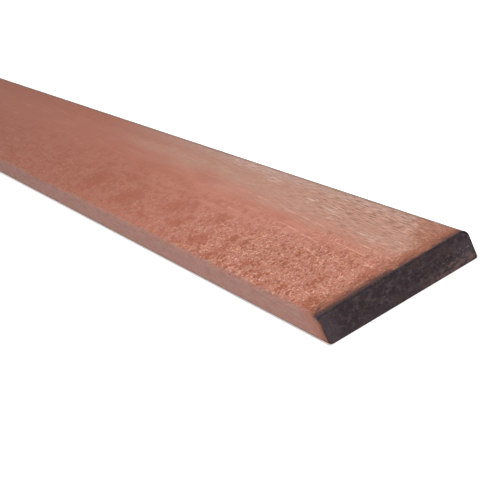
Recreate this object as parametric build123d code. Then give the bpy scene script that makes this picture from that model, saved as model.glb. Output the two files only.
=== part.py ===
from build123d import *
import os

# Cover strip: one long, flat piece of sawn hardwood with a plain rectangular section.
# X is the width, Y the length and Z the thickness. The lower face rests at Z = 0.

# Driving sizes in millimetres
length = 1800.0
width = 70.0
thickness = 13.0
upper_left_radius = 1.0
upper_right_radius = 3.0
lower_left_radius = 2.5
lower_right_radius = 1.2
end_easing = 0.4

# Section corners, centred on the width
lower_left = (-width / 2, 0.0)
lower_right = (width / 2, 0.0)
upper_right = (width / 2, thickness)
upper_left = (-width / 2, thickness)


def near(points, corner):
    """The section corner that lies at the given place."""
    return points.sort_by(lambda v: abs(v.X - corner[0]) + abs(v.Y - corner[1]))[0]


# Section with its four long arrises, each worn to its own radius, the upper right one the most
outline = make_face(Polyline(lower_left, lower_right, upper_right, upper_left, close=True))
for corner, radius in (
    (upper_left, upper_left_radius),
    (upper_right, upper_right_radius),
    (lower_left, lower_left_radius),
    (lower_right, lower_right_radius),
):
    outline = fillet(near(outline.vertices(), corner), radius)

# The section is stood up across the length and drawn along it
section = Plane.XZ.offset(length / 2) * outline
strip = extrude(section, amount=-length)

# Both crosscut ends lose their sharp rim
ends = strip.faces().sort_by(Axis.Y)
strip = chamfer(ends[0].edges() + ends[-1].edges(), end_easing)

os.makedirs("parts", exist_ok=True)
export_step(strip, "parts/cover_strip.step")
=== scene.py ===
import math

import bpy
import numpy as np
from mathutils import Matrix, Vector
from mathutils.geometry import delaunay_2d_cdt


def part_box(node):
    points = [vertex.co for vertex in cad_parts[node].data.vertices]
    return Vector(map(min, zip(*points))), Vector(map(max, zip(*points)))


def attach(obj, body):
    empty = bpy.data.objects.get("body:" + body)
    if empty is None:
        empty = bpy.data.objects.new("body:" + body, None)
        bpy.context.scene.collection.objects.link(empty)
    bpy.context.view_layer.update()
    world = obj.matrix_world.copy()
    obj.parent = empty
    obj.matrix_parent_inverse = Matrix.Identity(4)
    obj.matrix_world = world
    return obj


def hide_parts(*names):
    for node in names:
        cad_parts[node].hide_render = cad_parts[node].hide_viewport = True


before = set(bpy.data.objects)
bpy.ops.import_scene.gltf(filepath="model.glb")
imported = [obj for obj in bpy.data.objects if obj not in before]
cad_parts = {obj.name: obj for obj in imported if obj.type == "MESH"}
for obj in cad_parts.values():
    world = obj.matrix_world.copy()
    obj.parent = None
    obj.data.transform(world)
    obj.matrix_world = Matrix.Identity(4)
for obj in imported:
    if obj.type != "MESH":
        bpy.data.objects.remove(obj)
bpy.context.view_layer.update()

# The strip's sizes in millimetres, read from the frame. Across is 0 at the photographed long side,
# along is 0 at the photographed end, and up is 0 on the floor.
MM = 0.001
node_low, node_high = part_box("cover_strip")
WIDTH = (node_high.x - node_low.x) / MM
LENGTH = (node_high.y - node_low.y) / MM
THICKNESS = (node_high.z - node_low.z) / MM

# Radii of the long arrises, as in the part's source
UPPER_LEFT_RADIUS = 1.0
UPPER_RIGHT_RADIUS = 3.0
LOWER_RIGHT_RADIUS = 1.2
LOWER_LEFT_RADIUS = 2.5

# Easing of both ends. It is a little larger than the bare solid's, because the coat rounds the rims. The
# curve gives shares of it: the way from the end, and how far the section is drawn in there.
END_EASING = 0.5
EASING_CURVE = ((0.0, 1.0), (0.12, 0.55), (0.45, 0.15))

# Torn band along the photographed side: its width at the ends, what it loses per millimetre inward, its
# least width, the width of its soft border, and the depth of its relief
TORN_WIDTH = 42.0
TORN_NARROWING = 0.09
TORN_LEAST_WIDTH = 28.0
TORN_BORDER = 18.0
TORN_DEPTH = 0.75

# Share of its strength that the torn grain loses inward from the ends, and where that starts and ends
TORN_CALMING = 0.72
CALMING_START = 80.0
CALMING_END = 230.0

# Torn grain is relief up to the first place along the strip, and only colour and bump from the second
RELIEF_FADES = 450.0
RELIEF_ENDS = 700.0

# Greyed, dusty band along the other side: where it starts across the face at the photographed end, its
# drift outward per millimetre along, and the stretch along the strip over which it fades
GREY_START = 40.0
GREY_DRIFT = 0.03
GREY_FADES = 240.0
GREY_ENDS = 450.0

# Depths of the finer relief, of the sunk upper face beside its coat, and the deepest relief of all
GRAIN_DEPTH = 0.05
SAW_DEPTH = 0.03
CHIP_DEPTH = 1.1
UPPER_SINKING = 0.1
DEEPEST = 1.0

# Middle of the chips below and beside the photographed upper arris, and the spread of the places they take
CHIP_INSET = 0.4
CHIP_SPREAD = 0.9

# The stretch before both rims where the relief fades out, on the long faces and on the ends
RIM_CALM = 1.0
END_RIM_CALM = 1.2

# Share of the torn grain's height that a clump loses, and depths of the brush marks in the end coat
CLUMP_SINKING = 0.2
BRUSH_LUMPS = 0.14
BRUSH_GRAINS = 0.12

# How far the end coat laps over the rim: everywhere, over both upper arrises and over the upper face,
# what its torn half and the photographed corner add, and what is worn off the photographed arris
LAP_EVERYWHERE = 0.05
LAP_NEAR_ARRIS = 1.0
LAP_FAR_ARRIS = 1.3
LAP_UPPER_FACE = 1.0
LAP_TORN_HALF = 1.6
LAP_CORNER = 0.8
LAP_WORN = 0.9

# The way inside its border from which the coat counts as whole
COAT_WHOLE = 3.0

# Darker clumps of torn grain on the upper face: (across, along, reach across, reach along)
CLUMPS = (
    (4, 16, 6, 9), (30, 12, 6, 4), (17, 32, 4, 3), (6, 45, 3, 3), (4, 58, 2.5, 3), (7, 68, 3, 2.5),
    (5, 77, 2.5, 2.5), (18, 65, 3.5, 3), (26, 66, 2.5, 2.5), (11, 81, 2.5, 2.5), (9, 88, 3.5, 3),
    (4, 96, 2.5, 2.5), (4, 104, 3, 3), (5, 120, 4, 5), (12, 118, 4.5, 5), (19, 123, 4, 4),
    (19, 110, 3, 3), (26, 118, 3, 3), (10, 147, 5, 8), (27, 154, 4, 8), (13, 180, 4, 7),
    (22, 205, 6, 10), (16, 258, 9, 14), (18, 315, 10, 16),
)

# Pale dusty smears on the upper face, in the same order
DUST = (
    (52, 17, 4, 11), (57, 117, 3, 7), (61, 168, 4, 12),
    (55, 88, 5, 14), (67, 196, 5, 40), (48, 44, 2.5, 12),
)

# Orange brown patches on the upper face, in the same order
STAINS = (
    (61, 13, 9, 13), (66, 22, 5, 14), (36, 5, 9, 6),
    (6, 9, 10, 11), (24, 6, 9, 7), (44, 8, 6, 4),
)

# Seeds of the ragged borders of these three
CLUMP_SEED = 71
DUST_SEED = 73
STAIN_SEED = 75

# Long pale scratches on the upper face: start and end as (across, along)
SCRATCHES = (
    ((34.4, 56.0), (38.7, 126.0)),
    ((19.4, 83.0), (24.4, 154.0)),
    ((44.4, 77.0), (48.0, 168.0)),
    ((13.5, 4.0), (15.0, 28.0)),
    ((29.5, 18.0), (31.0, 42.0)),
    ((41.0, 8.0), (42.5, 40.0)),
    ((24.0, 6.0), (22.5, 24.0)),
    ((33.0, 9.0), (35.5, 33.0)),
    ((17.0, 30.0), (20.5, 52.0)),
    ((26.0, 40.0), (30.5, 74.0)),
    ((8.5, 20.0), (10.0, 37.0)),
    ((37.5, 24.0), (39.0, 60.0)),
    ((12.0, 66.0), (15.5, 92.0)),
)

# Half the width of a scratch and of its palest part, how far it starts before its first point, and how
# far its strength still changes after that and round its last point
SCRATCH_HALF_WIDTH = 0.42
SCRATCH_CORE = 0.1
SCRATCH_LEAD = 4.0
SCRATCH_TAPER = 6.0

# Mesh spacing across the torn and the smooth upper face, both narrow sides and the lower face
FINE_STEP = 0.52
SMOOTH_STEP = 1.6 * FINE_STEP
NEAR_SIDE_STEP = 0.9
FAR_SIDE_STEP = 1.8
LOWER_STEP = 5.5

# Rows round the two sharper and the two rounder arrises
FEW_ROWS = 4
MORE_ROWS = 6

# Spacing of the cross rows at some places along the strip: fine near the photographed end, coarse far in
COARSE_STEP = 12.0
ROW_STEPS = (
    (END_EASING, FINE_STEP),
    (100, 1.1 * FINE_STEP),
    (220, 1.3),
    (360, 2.8),
    (640, COARSE_STEP),
    (LENGTH - 200, COARSE_STEP),
    (LENGTH - 25, 1.8),
    (LENGTH - END_EASING, 1.2),
)

# Mesh spacing on the photographed and the far crosscut face
END_STEP = 0.6
FAR_END_STEP = 1.1


def smoothstep(low, high, value):
    """0 below low, 1 above high, and a smooth rise between them."""
    t = np.clip((value - low) / (high - low), 0, 1)
    return t * t * (3 - 2 * t)


class Noise:
    """Gradient noise in three dimensions, from about -1 to 1. Each use has a seed of its own."""

    def __init__(self, seed):
        rng = np.random.default_rng(seed)
        self.order = rng.permutation(256)
        slope = rng.normal(size=(256, 3))
        self.slope = slope / np.linalg.norm(slope, axis=1, keepdims=True)

    def __call__(self, points, size):
        """The noise at points, in cells of the given size along each axis."""
        place = points / np.array(size, float)
        cell = np.floor(place).astype(int)
        part = place - cell
        fade = part ** 3 * (part * (part * 6 - 15) + 10)
        total = np.zeros(len(points))
        for corner in np.ndindex(2, 2, 2):
            key = self.order[(cell[:, 0] + corner[0]) & 255]
            key = self.order[(key + cell[:, 1] + corner[1]) & 255]
            key = self.order[(key + cell[:, 2] + corner[2]) & 255]
            weight = np.prod(np.where(corner, fade, 1 - fade), axis=1)
            total += weight * np.sum(self.slope[key] * (part - corner), axis=1)
        # The sum alone hardly goes beyond 0.6 either way
        return total * 1.6


def from_end(points):
    """The way from each point to the nearer end."""
    return np.minimum(points[:, 1], LENGTH - points[:, 1])


def near_part(points):
    """1 on the part that the photograph shows, where the mesh is fine enough for torn grain."""
    return smoothstep(RELIEF_ENDS, RELIEF_FADES, points[:, 1])


def upper_face(points):
    """1 on the upper face and its arrises, 0 below them."""
    return smoothstep(THICKNESS - 1.6, THICKNESS - 0.6, points[:, 2])


def torn_band(points):
    """1 where the saw has torn the grain of the upper face, 0 where it is smooth."""
    inward = from_end(points)
    edge = np.maximum(TORN_WIDTH - TORN_NARROWING * inward, TORN_LEAST_WIDTH)
    edge = edge + 6 * Noise(11)(points, (15, 30, 15)) + 5 * Noise(12)(points, (3, 8, 4))
    weaker_at_end = 0.8 + 0.2 * smoothstep(8, 38, inward)
    strength = weaker_at_end * (1 - TORN_CALMING * smoothstep(CALMING_START, CALMING_END, inward))
    inside = smoothstep(TORN_BORDER / 2, -TORN_BORDER / 2, points[:, 0] - edge)
    return upper_face(points) * strength * inside


def torn_height(points):
    """Height of the crumbly torn grain, from 0 in its pits to 1 on its curled crests."""
    bend = np.stack([Noise(seed)(points, (2.2, 2.6, 2.2)) for seed in (24, 25, 26)], axis=1)
    bent = points + 0.55 * bend
    crest = 1 - 2.1 * np.abs(Noise(21)(bent, (1.55, 2.1, 1.55)))
    grit = Noise(22)(points, (0.9, 1.3, 0.9))
    lumps = Noise(27)(points, (3.4, 3.0, 3.4))
    bands = Noise(23)(points, (9, 4.5, 9))
    rough = 0.5 * (crest - 0.35) + 0.22 * grit + 0.24 * lumps + 0.14 * bands
    middle = 0.52
    return np.clip(middle + rough * near_part(points), 0, 1)


def patches(points, places, seed):
    """1 inside the listed ovals of the upper face, with ragged borders."""
    across, along, _ = points.T
    ragged = 0.5 * Noise(seed)(points, (2.2, 3.2, 2.2)) + 0.35 * Noise(seed + 1)(points, (1, 1.6, 1))
    total = np.zeros(len(points))
    for middle_across, middle_along, reach_across, reach_along in places:
        reach = np.hypot((across - middle_across) / reach_across, (along - middle_along) / reach_along)
        total = np.maximum(total, smoothstep(1.25, 0.35, reach + ragged))
    return total * upper_face(points)


def greyed_band(points):
    """1 where the upper face is greyed and dusty, along the side that faces away in the photograph."""
    across, along, _ = points.T
    edge = GREY_START + GREY_DRIFT * along + 5 * Noise(13)(points, (6, 50, 6))
    return upper_face(points) * smoothstep(-5, 9, across - edge) * smoothstep(GREY_ENDS, GREY_FADES, along)


def coat_cover(points, around):
    """How far in millimetres each point lies inside the end coat, around being its way from the rim."""
    across, _, up = points.T
    near_arris = smoothstep(2.2, 0.3, across) * smoothstep(THICKNESS - 4, THICKNESS - 0.5, up)
    far_arris = smoothstep(WIDTH - 3.5, WIDTH - 0.8, across) * smoothstep(THICKNESS - 9, THICKNESS - 1, up)
    on_top = smoothstep(THICKNESS - 1.5, THICKNESS - 0.3, up)
    torn_half = smoothstep(TORN_WIDTH, TORN_WIDTH - 12, across)
    corner = smoothstep(11, 6, across)
    worn = smoothstep(1.5, 0.4, across)
    lap = LAP_EVERYWHERE + LAP_NEAR_ARRIS * near_arris + LAP_FAR_ARRIS * far_arris
    lap = lap + on_top * (LAP_UPPER_FACE + LAP_TORN_HALF * torn_half)
    lap = lap + LAP_CORNER * on_top * corner - LAP_WORN * worn
    # Its border wanders and is finely ragged
    lap = lap + 0.7 * Noise(41)(points, (9, 9, 6)) + 0.35 * Noise(42)(points, (2, 2, 2))
    return lap - around


def relief(points, torn, height, coat):
    """How far each point of the long faces lies below the CAD surface, in millimetres."""
    across, _, up = points.T
    grain = 0.5 + 0.5 * Noise(31)(points, (0.9, 26, 0.9))
    sawn = 0.5 + 0.5 * Noise(32)(points, (30, 1.5, 8))
    depth = GRAIN_DEPTH * grain + SAW_DEPTH * sawn + TORN_DEPTH * torn * near_part(points) * (1 - height)
    # Chips along the photographed upper arris
    off_arris = (across - CHIP_INSET) ** 2 + (up - THICKNESS + CHIP_INSET) ** 2
    chips = np.clip(Noise(33)(points, (3, 2.2, 3)) - 0.1, 0, 1)
    depth = depth + CHIP_DEPTH * np.exp(-off_arris / CHIP_SPREAD) * chips
    # The coat fills all this, and stands proud of the upper face, which is sunk a little
    sunk = UPPER_SINKING * upper_face(points)
    bare = smoothstep(0.15, -0.15, coat)
    return np.clip((depth + sunk) * bare, 0, DEEPEST)


def coat_relief(points):
    """How far the coated crosscut face lies below its highest brush marks, in millimetres."""
    lumps = 0.5 + 0.5 * Noise(51)(points, (2.6, 2.6, 1.7))
    grains = 0.5 + 0.5 * Noise(52)(points, (0.9, 0.9, 0.8))
    return BRUSH_LUMPS * lumps + BRUSH_GRAINS * grains


def row_places():
    """Places of the cross rows along the strip, from easing to easing."""
    stations, steps = zip(*ROW_STEPS)
    places = [stations[0]]
    while places[-1] < stations[-1]:
        places.append(places[-1] + np.interp(places[-1], stations, steps))
    # They are drawn together a little, so that the last one meets the far easing
    places = np.array(places)
    return stations[0] + (places - places[0]) * (stations[-1] - stations[0]) / (places[-1] - places[0])


def profile():
    """The section as rows of (across, up, outward across, outward up), clockwise from the lower left."""
    rows = []

    def run(start, end, outward, step):
        count = max(2, round(math.dist(start, end) / step))
        for t in np.arange(count) / count:
            rows.append((start[0] + (end[0] - start[0]) * t, start[1] + (end[1] - start[1]) * t, *outward))

    def turn(centre, radius, first_angle, count):
        for angle in np.radians(first_angle - 90 * np.arange(count) / count):
            outward = (math.cos(angle), math.sin(angle))
            rows.append((centre[0] + radius * outward[0], centre[1] + radius * outward[1], *outward))

    ul, ur, lr, ll = UPPER_LEFT_RADIUS, UPPER_RIGHT_RADIUS, LOWER_RIGHT_RADIUS, LOWER_LEFT_RADIUS
    smooth_start = TORN_WIDTH + 5
    run((0, ll), (0, THICKNESS - ul), (-1, 0), NEAR_SIDE_STEP)
    turn((ul, THICKNESS - ul), ul, 180, FEW_ROWS)
    run((ul, THICKNESS), (smooth_start, THICKNESS), (0, 1), FINE_STEP)
    run((smooth_start, THICKNESS), (WIDTH - ur, THICKNESS), (0, 1), SMOOTH_STEP)
    turn((WIDTH - ur, THICKNESS - ur), ur, 90, MORE_ROWS)
    run((WIDTH, THICKNESS - ur), (WIDTH, lr), (1, 0), FAR_SIDE_STEP)
    turn((WIDTH - lr, lr), lr, 0, FEW_ROWS)
    run((WIDTH - lr, 0), (ll, 0), (0, -1), LOWER_STEP)
    turn((ll, ll), ll, -90, MORE_ROWS)
    return np.array(rows)


def sweep(section, places):
    """Points, outward directions, quads and row numbers of the long faces, eased at both rims."""
    eased = [(place * END_EASING, inset * END_EASING) for place, inset in EASING_CURVE]
    rows = eased + [(place, 0.0) for place in places]
    rows += [(LENGTH - place, inset) for place, inset in reversed(eased)]
    along, inset = np.array(rows).T
    across = section[None, :, 0] - section[None, :, 2] * inset[:, None]
    up = section[None, :, 1] - section[None, :, 3] * inset[:, None]
    points = np.stack([across, np.broadcast_to(along[:, None], across.shape), up], axis=-1)
    outward = np.zeros_like(points)
    outward[..., 0] = section[None, :, 2]
    outward[..., 2] = section[None, :, 3]
    index = np.arange(across.size).reshape(across.shape)
    following = np.roll(index, -1, axis=1)
    quads = np.stack([index[:-1], index[1:], following[1:], following[:-1]], axis=-1).reshape(-1, 4)
    return points.reshape(-1, 3), outward.reshape(-1, 3), quads, index


def close_end(rim, step, faces_back):
    """Inner points (across, up) and triangles that fill a rim of (across, up) points."""
    rng = np.random.default_rng(61)
    start = END_EASING + step / 2
    inner = np.mgrid[start:WIDTH - start:step, start:THICKNESS - start:step].reshape(2, -1).T
    unevenness = 0.2
    inner = inner + rng.uniform(-unevenness, unevenness, inner.shape) * step
    # Points near the rim, and those outside the rounded upper corner, are dropped
    clearance = 0.7 * step
    clear = np.linalg.norm(inner[:, None] - rim[None], axis=2).min(axis=1) > clearance
    corner = np.array([WIDTH - UPPER_RIGHT_RADIUS, THICKNESS - UPPER_RIGHT_RADIUS])
    in_corner = (inner > corner).all(axis=1)
    outside = in_corner & (np.linalg.norm(inner - corner, axis=1) > UPPER_RIGHT_RADIUS - step)
    inner = inner[clear & ~outside]
    flat = [Vector(p) for p in np.concatenate([rim, inner])]
    edges = [(i, (i + 1) % len(rim)) for i in range(len(rim))]
    keep_inside = 1
    tolerance = 1e-5
    found, _, faces, origins, _, _ = delaunay_2d_cdt(flat, edges, [], keep_inside, tolerance)
    assert len(found) == len(flat), "points of the end face met each other"
    triangles = []
    for face in faces:
        corners = [origins[i][0] for i in face]
        a, b, c = (flat[i] for i in corners)
        anticlockwise = (b - a).cross(c - a) > 0
        triangles.append(corners if anticlockwise != faces_back else corners[::-1])
    return inner, triangles


def mesh_object(name, points, faces, masks):
    """An object at the strip's place, made of points in millimetres, with an attribute for each mask."""
    mesh = bpy.data.meshes.new(name)
    mesh.from_pydata((points * MM).tolist(), [], faces)
    for mask, values in masks.items():
        mesh.attributes.new(mask, "FLOAT", "POINT").data.foreach_set("value", values.astype(np.float32))
    mesh.polygons.foreach_set("use_smooth", [True] * len(mesh.polygons))
    mesh.update()
    mesh.validate()
    piece = bpy.data.objects.new(name, mesh)
    piece.location = (node_low.x, node_low.y, node_low.z)
    bpy.context.scene.collection.objects.link(piece)
    return piece


def build_strip():
    """The strip as one closed mesh, whose points carry the masks that the material reads."""
    points, outward, quads, index = sweep(profile(), row_places())
    around = from_end(points)
    torn = torn_band(points)
    height = np.clip(torn_height(points) - CLUMP_SINKING * patches(points, CLUMPS, CLUMP_SEED), 0, 1)
    coat = coat_cover(points, around)
    # Both rims stay in place
    depth = relief(points, torn, height, coat) * smoothstep(0, RIM_CALM, around)
    long_faces = points - outward * depth[:, None]

    blocks = [long_faces]
    covers = [coat]
    faces = [tuple(int(i) for i in quad) for quad in quads]
    for row, place, step, inward in ((0, 0.0, END_STEP, 1), (-1, LENGTH, FAR_END_STEP, -1)):
        rim = long_faces[index[row]][:, [0, 2]]
        flat, triangles = close_end(rim, step, faces_back=inward < 0)
        inner = np.stack([flat[:, 0], np.full(len(flat), place), flat[:, 1]], axis=1)
        to_rim = np.minimum.reduce([flat[:, 0], WIDTH - flat[:, 0], flat[:, 1], THICKNESS - flat[:, 1]])
        covers.append(np.minimum(coat_cover(inner, END_EASING - to_rim), COAT_WHOLE))
        inner[:, 1] += inward * coat_relief(inner) * smoothstep(0, END_RIM_CALM, to_rim)
        numbers = np.concatenate([index[row], sum(len(b) for b in blocks) + np.arange(len(inner))])
        faces += [tuple(int(numbers[i]) for i in triangle) for triangle in triangles]
        blocks.append(inner)

    everything = np.concatenate(blocks)
    on_end = np.arange(len(everything)) >= len(points)
    masks = {
        "coat": np.concatenate(covers),
        "torn": np.where(on_end, 0, torn_band(everything)),
        "height": np.concatenate([height, np.ones(on_end.sum())]),
        "clump": patches(everything, CLUMPS, CLUMP_SEED),
        "dust": patches(everything, DUST, DUST_SEED),
        "stain": patches(everything, STAINS, STAIN_SEED),
        "grey": greyed_band(everything),
        "narrow": np.concatenate([np.abs(outward[:, 0]), np.zeros(on_end.sum())]),
    }
    return mesh_object("cover_strip_wood", everything, faces, masks)


class Nodes:
    """Short calls that make a material's nodes. Lengths and places are in millimetres."""

    def __init__(self, name):
        self.material = bpy.data.materials.new(name)
        self.material.use_nodes = True
        self.tree = self.material.node_tree
        self.tree.nodes.clear()
        output = self.tree.nodes.new("ShaderNodeOutputMaterial")
        self.shader = self.tree.nodes.new("ShaderNodeBsdfPrincipled")
        self.tree.links.new(self.shader.outputs[0], output.inputs["Surface"])
        scale = self.tree.nodes.new("ShaderNodeVectorMath")
        scale.operation = "SCALE"
        scale.inputs["Scale"].default_value = 1 / MM
        self.put(scale.inputs[0], self.tree.nodes.new("ShaderNodeTexCoord").outputs["Object"])
        self.place = scale.outputs[0]
        parts = self.tree.nodes.new("ShaderNodeSeparateXYZ")
        self.put(parts.inputs[0], self.place)
        self.across, self.along, self.up = parts.outputs
        self.from_end = self.math("MINIMUM", self.along, self.line(self.along, -1, LENGTH))

    def put(self, socket, value):
        """Links a socket to a node's output, or sets it to a number or colour."""
        if isinstance(value, bpy.types.NodeSocket):
            self.tree.links.new(value, socket)
        elif isinstance(value, tuple):
            socket.default_value = (*value, 1)
        else:
            socket.default_value = value

    def mask(self, name):
        """One of the masks that the mesh carries."""
        node = self.tree.nodes.new("ShaderNodeAttribute")
        node.attribute_name = name
        return node.outputs["Fac"]

    def noise(self, size, seed, detail=3.0, roughness=0.55):
        """Noise from 0 to 1, its cells size millimetres along each axis, at a place of its own by seed."""
        mapping = self.tree.nodes.new("ShaderNodeMapping")
        mapping.inputs["Scale"].default_value = [1 / s for s in size]
        mapping.inputs["Location"].default_value = (seed * 3.7, seed * 1.3, seed * 2.1)
        self.put(mapping.inputs["Vector"], self.place)
        node = self.tree.nodes.new("ShaderNodeTexNoise")
        self.put(node.inputs["Vector"], mapping.outputs[0])
        node.inputs["Scale"].default_value = 1.0
        node.inputs["Detail"].default_value = detail
        node.inputs["Roughness"].default_value = roughness
        return node.outputs["Fac"]

    def math(self, operation, *values):
        """The result of one arithmetic operation on the values."""
        node = self.tree.nodes.new("ShaderNodeMath")
        node.operation = operation
        for socket, value in zip(node.inputs, values):
            self.put(socket, value)
        return node.outputs[0]

    def chain(self, operation, values):
        """The values joined one after another by the same operation."""
        total = values[0]
        for value in values[1:]:
            total = self.math(operation, total, value)
        return total

    def product(self, *values):
        """All values multiplied."""
        return self.chain("MULTIPLY", values)

    def sum(self, *values):
        """All values added."""
        return self.chain("ADD", values)

    def largest(self, *values):
        """The largest of the values."""
        return self.chain("MAXIMUM", values)

    def line(self, value, factor, offset):
        """The value times the factor, plus the offset."""
        return self.math("MULTIPLY_ADD", value, factor, offset)

    def step(self, value, start, end):
        """A smooth change from 0 at start to 1 at end. start may be the larger."""
        node = self.tree.nodes.new("ShaderNodeMapRange")
        node.interpolation_type = "SMOOTHSTEP"
        self.put(node.inputs["Value"], value)
        node.inputs["From Min"].default_value = start
        node.inputs["From Max"].default_value = end
        return node.outputs["Result"]

    def flecks(self, size, seed, start, end, detail=3.0, roughness=0.55):
        """Patches of noise: 0 where it is at start and 1 where it is at end."""
        return self.step(self.noise(size, seed, detail, roughness), start, end)

    def paint(self, under, over, *shares):
        """A colour laid over another by the product of the shares."""
        node = self.tree.nodes.new("ShaderNodeMix")
        node.data_type = "RGBA"
        self.put(node.inputs[0], self.product(*shares))
        self.put(node.inputs[6], under)
        self.put(node.inputs[7], over)
        return node.outputs[2]


# Cells of the three main textures: fibres along the strip, crumbs of torn grain, and its curls
FIBRE_CELLS = (0.42, 8, 0.42)
CRUMB_CELLS = (0.78, 1.0, 0.78)
CURL_CELLS = (1.8, 2.5, 1.8)

# Gloss of the whole surface, and the least roughness of wood and coat
GLOSS = 0.12
WOOD_ROUGHNESS = 0.66
COAT_ROUGHNESS = 0.42

# Relief that is smaller than the mesh: its height in millimetres, and its strength
BUMP_HEIGHT = 0.42
BUMP_STRENGTH = 0.7

# Colours of the wood and its coat, linear
PINK = (0.362, 0.146, 0.106)
PINK_DEEP = (0.300, 0.109, 0.073)
PINK_FAR = (0.262, 0.088, 0.056)
CREST = (0.560, 0.300, 0.215)
CURL_AND_HIGHLIGHT = (0.585, 0.315, 0.225)
TORN_PINK = (0.322, 0.125, 0.087)
PIT_AND_SHADE = (0.205, 0.054, 0.026)
CLUMP = (0.245, 0.068, 0.036)
BEIGE = (0.318, 0.174, 0.127)
LILAC = (0.322, 0.207, 0.173)
DUSTY = (0.480, 0.345, 0.300)
STREAK_AND_SHADE = (0.185, 0.088, 0.058)
ORANGE = (0.240, 0.082, 0.045)
END_RED = (0.150, 0.055, 0.037)
END_BROWN_AND_SHADE = (0.080, 0.033, 0.028)
SIDE = (0.295, 0.148, 0.120)
SIDE_DEEP = (0.235, 0.113, 0.090)
SIDE_PINK = (0.285, 0.123, 0.092)
SIDE_GREY = (0.275, 0.165, 0.130)
ARRIS_GREY = (0.155, 0.095, 0.082)
OCHRE = (0.400, 0.180, 0.075)
COAT = (0.022, 0.0125, 0.0165)
COAT_THIN = (0.050, 0.017, 0.010)
COAT_GREY_AND_SHEEN = (0.062, 0.045, 0.050)
COAT_RUST = (0.046, 0.025, 0.022)
COAT_WORN = (0.110, 0.066, 0.060)
COAT_SPECK = (0.160, 0.135, 0.130)


# In the layers below, a step goes from the value where a layer starts to the one where it is whole. Flecks
# name the cells and the seed of their noise before that. A number at the end of a layer is its share.


def scratch_mask(n):
    """1 on the long pale scratches of the upper face, which break off here and there."""
    lines = []
    for (start_across, start_along), (end_across, end_along) in SCRATCHES:
        slope = (end_across - start_across) / (end_along - start_along)
        middle = n.line(n.along, slope, start_across - slope * start_along)
        beside = n.math("ABSOLUTE", n.math("SUBTRACT", n.across, middle))
        begun = n.step(n.along, start_along - SCRATCH_LEAD, start_along + SCRATCH_TAPER)
        ended = n.step(n.along, end_along + SCRATCH_TAPER, end_along - SCRATCH_TAPER)
        lines.append(n.product(n.step(beside, SCRATCH_HALF_WIDTH, SCRATCH_CORE), begun, ended))
    unbroken = n.flecks((2, 7, 2), 9, 0.42, 0.6)
    on_top = n.step(n.up, THICKNESS - 2, THICKNESS - 1)
    return n.product(n.largest(*lines), unbroken, on_top)


def wide_face_colour(n, fine):
    """Smooth sawn wood of the wide faces: pink, with a greyed and dusty band of dark pores."""
    # The pink is deeper in long veins, inward from the ends and towards the photographed side. Inward from
    # the ends it is partly the wood's deeper colour and partly painted shade, for the light that falls off
    # away from the ends.
    veins = n.line(n.noise((7, 45, 7), 1), 0.6, 0.2)
    inward = n.line(n.step(n.from_end, 70, 400), 0.25, 0)
    sideways = n.product(n.step(n.across, 30, 8), n.step(n.from_end, 40, 300), 0.12)
    colour = n.paint(PINK, PINK_DEEP, n.step(n.sum(veins, inward, sideways), 0.42, 0.76))
    crests = n.flecks((1.1, 38, 1.1), 2, 0.52, 0.72, detail=4)
    colour = n.paint(colour, CREST, crests, n.line(n.step(n.from_end, 300, 100), 0.12, 0.12))
    # Greyed band with its dust
    grey = n.mask("grey")
    colour = n.paint(colour, BEIGE, grey, 0.85)
    colour = n.paint(colour, LILAC, grey, n.step(n.across, WIDTH - 11, WIDTH - 4), 0.8)
    smears = n.flecks((0.8, 12, 0.8), 4, 0.46, 0.6, detail=4, roughness=0.7)
    dusty = n.largest(n.line(grey, 0.2, 0), n.mask("dust"))
    colour = n.paint(colour, DUSTY, dusty, smears, 0.7)
    # Redder far in, towards both sides
    near_side = n.line(n.step(n.across, 44, 16), 0.85, 0)
    far_side = n.line(n.step(n.across, WIDTH - 14, WIDTH - 9), 0.32, 0)
    colour = n.paint(colour, PINK_FAR, n.step(n.from_end, 110, 360), n.largest(near_side, far_side))
    colour = n.paint(colour, ORANGE, n.mask("stain"), 0.75)
    # Dark pores and pale fibres, most of them in the greyed band and near the ends
    far_side = n.step(n.across, WIDTH - 19, WIDTH - 10)
    porous = n.sum(n.line(grey, 0.25, 0.4), n.line(far_side, 0.4, 0))
    share = n.product(porous, n.line(n.step(n.from_end, 190, 60), 0.75, 0.25))
    colour = n.paint(colour, STREAK_AND_SHADE, n.step(fine, 0.52, 0.34), share)
    return n.paint(colour, CREST, n.step(fine, 0.5, 0.7), share, 0.6)


def torn_colour(n, smooth, crumb, curl):
    """Torn grain: orange brown pits deepened with painted shade, greyed and ochre flecks, and thin pale
    curls of fibre with a painted highlight on the crests.
    """
    # The crumbs raise and lower the height of the mesh
    height = n.sum(n.mask("height"), n.line(crumb, 1.7, -0.84))
    colour = n.paint(smooth, TORN_PINK, 0.85)
    # Painted shade: the low places of the crumbs are darkened, on top of the pits' own orange brown
    colour = n.paint(colour, PIT_AND_SHADE, n.step(height, 0.55, 0.18), 0.9)
    colour = n.paint(colour, BEIGE, n.flecks((1.6, 2.4, 1.6), 14, 0.54, 0.66, detail=4), 0.7)
    colour = n.paint(colour, CLUMP, n.mask("clump"), n.step(height, 0.9, 0.35), 0.8)
    colour = n.paint(colour, OCHRE, n.flecks((1.8, 2, 1.8), 23, 0.58, 0.68, detail=2), 0.6)
    # Painted highlight: the curls are paler the higher they stand
    return n.paint(colour, CURL_AND_HIGHLIGHT, curl, n.step(height, 0.35, 0.9), 0.85)


def blotch_mask(n):
    """How far soft dark blotches and the clumps darken the upper face. They are faint near the ends."""
    torn_half = n.step(n.across, TORN_WIDTH + 6, TORN_WIDTH - 10)
    blotches = n.product(n.flecks((3, 5.5, 3), 22, 0.48, 0.62, detail=2), torn_half)
    inward = n.line(n.step(n.from_end, 90, 150), 0.38, 0.1)
    fading = n.line(n.step(n.from_end, 250, 600), -0.5, 1)
    return n.product(n.largest(blotches, n.mask("clump")), inward, fading)


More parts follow.
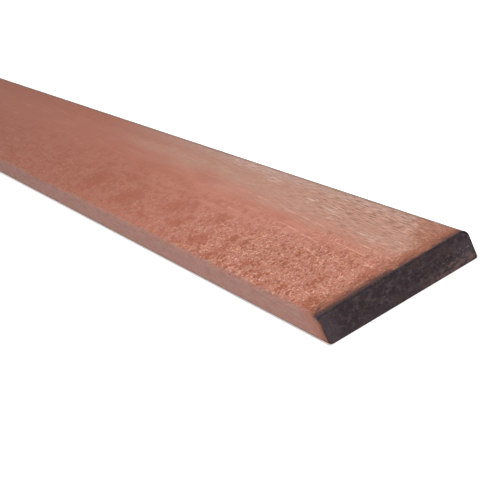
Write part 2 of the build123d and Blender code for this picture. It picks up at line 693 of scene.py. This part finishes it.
def narrow_share(n):
    """1 on the narrow sides, with a ragged border along the photographed upper arris."""
    even = n.step(n.mask("narrow"), 0.35, 0.85)
    # The border runs about a millimetre in from the arris
    ragged = n.line(n.noise((2, 3, 2), 21), 4.0, -3.0 - THICKNESS)
    below = n.step(n.sum(n.across, n.up, ragged), 0.5, -0.5)
    on_arris = n.product(n.step(n.across, 3.0, 2.0), n.step(n.up, THICKNESS - 3.0, THICKNESS - 2.0))
    return n.sum(even, n.product(on_arris, n.math("SUBTRACT", below, even)))


def narrow_face_colour(n, fine):
    """Narrow sides: smoother, greyer and more even than the wide faces, and pinker near the ends."""
    colour = n.paint(SIDE, SIDE_GREY, n.flecks((3, 7, 3), 18, 0.5, 0.62), 0.8)
    colour = n.paint(colour, SIDE_PINK, n.flecks((3, 6, 3), 19, 0.52, 0.66), 0.7)
    colour = n.paint(colour, SIDE_DEEP, n.flecks((1.6, 9, 1.6), 6, 0.42, 0.7, detail=5, roughness=0.65))
    rough = n.noise((0.9, 1.6, 0.9), 17, detail=4, roughness=0.7)
    colour = n.paint(colour, STREAK_AND_SHADE, n.step(fine, 0.45, 0.3), 0.25)
    colour = n.paint(colour, SIDE_DEEP, n.step(rough, 0.5, 0.34), 0.8)
    colour = n.paint(colour, BEIGE, n.step(rough, 0.55, 0.7), 0.6)
    return n.paint(colour, SIDE_PINK, n.step(n.from_end, 22, 3), 0.7)


def darker_arrises(n, wood):
    """The wood darker and greyer on its upper far arris, and with painted shade along both lower arrises.
    """
    to_side = n.step(n.across, WIDTH - 3.7, WIDTH - 2.3)
    wood = n.paint(wood, ARRIS_GREY, to_side, n.step(n.up, THICKNESS - 4, THICKNESS - 1), 0.5)
    # Painted shade: both lower arrises are darkened where they turn under towards the floor
    off_lower_face = n.step(n.mask("narrow"), 0, 0.2)
    wood = n.paint(wood, STREAK_AND_SHADE, n.step(n.up, 2.4, 0.6), off_lower_face, 0.85)
    return n.paint(wood, END_BROWN_AND_SHADE, n.step(n.up, 2.6, 1.4), off_lower_face, 0.75)


def soaked(n, wood, crumb, narrow):
    """The wood with what the coat has soaked beside it: orange, then red, then brown towards the coat."""
    wandering = n.line(n.noise((3.5, 3, 3.5), 7, detail=4), 13.0, -6.5)
    from_coat = n.sum(n.line(n.mask("coat"), -1, 0), wandering)
    # Less on the narrow sides, and less orange in the middle of the torn band
    upward = n.line(narrow, -0.55, 1)
    paler = n.product(n.step(n.across, 12, 20), n.step(n.across, TORN_WIDTH, TORN_WIDTH - 8))
    wood = n.paint(wood, ORANGE, n.step(from_coat, 14, 4), upward, n.line(paler, -0.35, 0.85))
    wood = n.paint(wood, END_RED, n.step(from_coat, 8, 0), upward, 0.8)
    wood = n.paint(wood, END_BROWN_AND_SHADE, n.step(from_coat, 3.5, -1), upward, 0.9)
    # Dark and pale crumbs in it
    beside = n.product(n.step(from_coat, 17, 9), upward)
    wood = n.paint(wood, END_BROWN_AND_SHADE, n.step(crumb, 0.5, 0.34), beside, 0.5)
    return n.paint(wood, CREST, n.step(crumb, 0.55, 0.7), n.step(from_coat, 0, 5), beside, 0.45)


def coat_colour(n):
    """Dark end coat: mottled, greyer towards both sides with a painted sheen towards the photographed
    side, worn and speckled low on the far side.
    """
    colour = n.paint(COAT, COAT_RUST, n.flecks((5, 5, 3), 12, 0.46, 0.64, detail=4), 0.7)
    colour = n.paint(colour, COAT_GREY_AND_SHEEN, n.flecks((1.7, 1.7, 1.4), 8, 0.47, 0.68, detail=5, roughness=0.75))
    below_arris = n.step(n.up, THICKNESS - 2, THICKNESS - 5)
    far_haze = n.product(n.step(n.across, WIDTH - 10, WIDTH - 4), below_arris)
    # Towards the photographed side this grey is a painted sheen; below the far arris it is greyer too
    colour = n.paint(colour, COAT_GREY_AND_SHEEN, n.largest(n.step(n.across, 9, 3), far_haze), 0.5)
    colour = n.paint(colour, COAT_GREY_AND_SHEEN, n.step(n.up, 5, 1), 0.3)
    # It is thin and brown where it laps over the upper face. Along the rim it is painted plain and dark, a
    # painted shade that damps the sheen of the rim.
    lapped = n.product(n.step(n.up, THICKNESS - 1.2, THICKNESS - 0.4), n.step(n.from_end, 0.3, 1.2))
    colour = n.paint(colour, COAT_THIN, lapped, 0.9)
    rim = n.product(n.step(n.up, THICKNESS - 1.4, THICKNESS - 0.5), n.step(n.from_end, 0.9, 0.4))
    colour = n.paint(colour, COAT, rim, 0.4)
    worn = n.product(n.step(n.across, WIDTH - 32, WIDTH - 12), n.step(n.up, 5.5, 1.5))
    colour = n.paint(colour, COAT_WORN, worn, n.flecks((2.2, 2.2, 1.5), 10, 0.42, 0.58, detail=4))
    specks = n.flecks((0.9, 0.9, 0.9), 16, 0.58, 0.68, detail=2)
    low_down = n.step(n.up, THICKNESS - 4, THICKNESS - 7)
    speckled = n.product(n.step(n.across, WIDTH - 22, WIDTH - 10), low_down)
    return n.paint(colour, COAT_SPECK, specks, n.line(speckled, 0.5, 0.12))


def fine_bump(n, fine, crumb, curl):
    """The surface's direction, with the relief that is smaller than the mesh."""
    grain = n.product(fine, n.line(n.mask("grey"), 0.5, 0.4))
    crumbs = n.product(n.sum(crumb, n.line(curl, 0.25, 0)), n.line(n.mask("torn"), 1.2, 0.2))
    bump = n.tree.nodes.new("ShaderNodeBump")
    bump.inputs["Strength"].default_value = BUMP_STRENGTH
    bump.inputs["Distance"].default_value = BUMP_HEIGHT * MM
    n.put(bump.inputs["Height"], n.sum(grain, crumbs))
    return bump.outputs[0]


def wood_material():
    """Rough-sawn reddish hardwood with a dark sealing coat on its ends."""
    n = Nodes("sawn_hardwood")
    fine = n.noise(FIBRE_CELLS, 3, roughness=0.6)
    crumb = n.noise(CRUMB_CELLS, 5, roughness=0.65)
    # Curls run along the middle value of their noise
    off_curl = n.math("ABSOLUTE", n.line(n.noise(CURL_CELLS, 13, detail=1), 1, -0.5))
    curl = n.step(off_curl, 0.065, 0.012)

    face = wide_face_colour(n, fine)
    face = n.paint(face, torn_colour(n, face, crumb, curl), n.mask("torn"))
    face = n.paint(face, CLUMP, blotch_mask(n))
    face = n.paint(face, CREST, scratch_mask(n), 0.5)
    narrow = narrow_share(n)
    wood = n.paint(face, narrow_face_colour(n, fine), narrow)
    wood = soaked(n, darker_arrises(n, wood), crumb, narrow)
    coated = n.step(n.sum(n.mask("coat"), n.line(crumb, 0.8, -0.4)), -1.1, 0.5)
    n.put(n.shader.inputs["Base Color"], n.paint(wood, coat_colour(n), coated))

    roughness = n.tree.nodes.new("ShaderNodeMix")
    n.put(roughness.inputs[0], coated)
    n.put(roughness.inputs[2], n.line(fine, 0.25, WOOD_ROUGHNESS))
    n.put(roughness.inputs[3], n.line(crumb, 0.3, COAT_ROUGHNESS))
    n.put(n.shader.inputs["Roughness"], roughness.outputs[0])
    n.shader.inputs["Specular IOR Level"].default_value = GLOSS
    n.put(n.shader.inputs["Normal"], fine_bump(n, fine, crumb, curl))
    return n.material


# Wide floor, soft surroundings, and a large lamp over each end. Lengths are in metres, but for the cells
# of the floor's faint clouds, which are in millimetres as in every material. The lamp's place is given
# from the middle of the photographed end's top, and turned round for the far end.
FLOOR_HALF = 8.0
FLOOR_GLOW = 0.32
FLOOR_GREY = (0.88, 0.88, 0.88)
FLOOR_WHITE = (0.92, 0.92, 0.92)
FLOOR_CLOUDS = 400
SKY_STRENGTH = 0.62
LAMP_PLACE = (-0.10, 0.0, 0.70)
LAMP_SIZE = 0.45
LAMP_POWER = 5.6


def floor_material():
    """White matt floor that glows a little, as a light table does."""
    n = Nodes("pale_floor")
    clouds = n.noise((FLOOR_CLOUDS, FLOOR_CLOUDS, FLOOR_CLOUDS), 20)
    n.put(n.shader.inputs["Base Color"], n.paint(FLOOR_GREY, FLOOR_WHITE, clouds))
    n.shader.inputs["Roughness"].default_value = 0.9
    n.shader.inputs["Specular IOR Level"].default_value = 0.1
    n.shader.inputs["Emission Color"].default_value = (1, 1, 1, 1)
    n.shader.inputs["Emission Strength"].default_value = FLOOR_GLOW
    return n.material


def build_floor():
    """A level floor under the strip."""
    mesh = bpy.data.meshes.new("floor")
    corners = [(x * FLOOR_HALF, y * FLOOR_HALF, 0) for x, y in ((-1, -1), (1, -1), (1, 1), (-1, 1))]
    mesh.from_pydata(corners, [], [(0, 1, 2, 3)])
    floor = bpy.data.objects.new("floor", mesh)
    bpy.context.scene.collection.objects.link(floor)
    mesh.materials.append(floor_material())
    return floor


def build_light():
    """White surroundings, and a lamp over each end that points at it."""
    world = bpy.data.worlds.new("studio")
    bpy.context.scene.world = world
    world.use_nodes = True
    background = world.node_tree.nodes["Background"]
    background.inputs["Color"].default_value = (1, 1, 1, 1)
    background.inputs["Strength"].default_value = SKY_STRENGTH
    for end, side in ((node_low.y, 1), (node_high.y, -1)):
        lamp = bpy.data.lights.new("lamp", "AREA")
        lamp.size = LAMP_SIZE
        lamp.energy = LAMP_POWER
        place = Vector((LAMP_PLACE[0] * side, LAMP_PLACE[1] * side, LAMP_PLACE[2]))
        holder = bpy.data.objects.new("lamp", lamp)
        holder.location = Vector((0, end, node_high.z)) + place
        holder.rotation_euler = (-place).to_track_quat("-Z", "Y").to_euler()
        bpy.context.scene.collection.objects.link(holder)


# The photograph's camera, fitted to the strip's outline. Its place is in millimetres from the corner of
# the frame's box where across, along and up are 0. The focal length is in picture widths.
CAMERA_PLACE = (-177.46, -559.78, 255.13)
CAMERA_PITCH = 19.434
CAMERA_YAW = 16.405
CAMERA_ROLL = -24.151
CAMERA_FOCAL = 3.4071


def build_camera():
    """The photograph's camera."""
    data = bpy.data.cameras.new("camera")
    data.sensor_width = 36.0
    data.lens = CAMERA_FOCAL * data.sensor_width
    data.clip_start = 0.01
    data.clip_end = 50.0
    camera = bpy.data.objects.new("camera", data)
    pitch, yaw, roll = (math.radians(angle) for angle in (CAMERA_PITCH, CAMERA_YAW, CAMERA_ROLL))
    forward = Vector((math.sin(yaw) * math.cos(pitch), math.cos(yaw) * math.cos(pitch), -math.sin(pitch)))
    level = Vector((math.cos(yaw), -math.sin(yaw), 0))
    upright = level.cross(forward)
    right = math.cos(roll) * level + math.sin(roll) * upright
    above = math.cos(roll) * upright - math.sin(roll) * level
    turn = Matrix((right, above, -forward)).transposed().to_4x4()
    camera.matrix_world = Matrix.Translation(Vector(CAMERA_PLACE) * MM + Vector(node_low)) @ turn
    bpy.context.scene.collection.objects.link(camera)
    bpy.context.scene.camera = camera


strip = build_strip()
strip.data.materials.append(wood_material())
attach(strip, "root")
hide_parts("cover_strip")
build_floor()
build_light()
build_camera()
bpy.context.scene.view_settings.view_transform = "Standard"
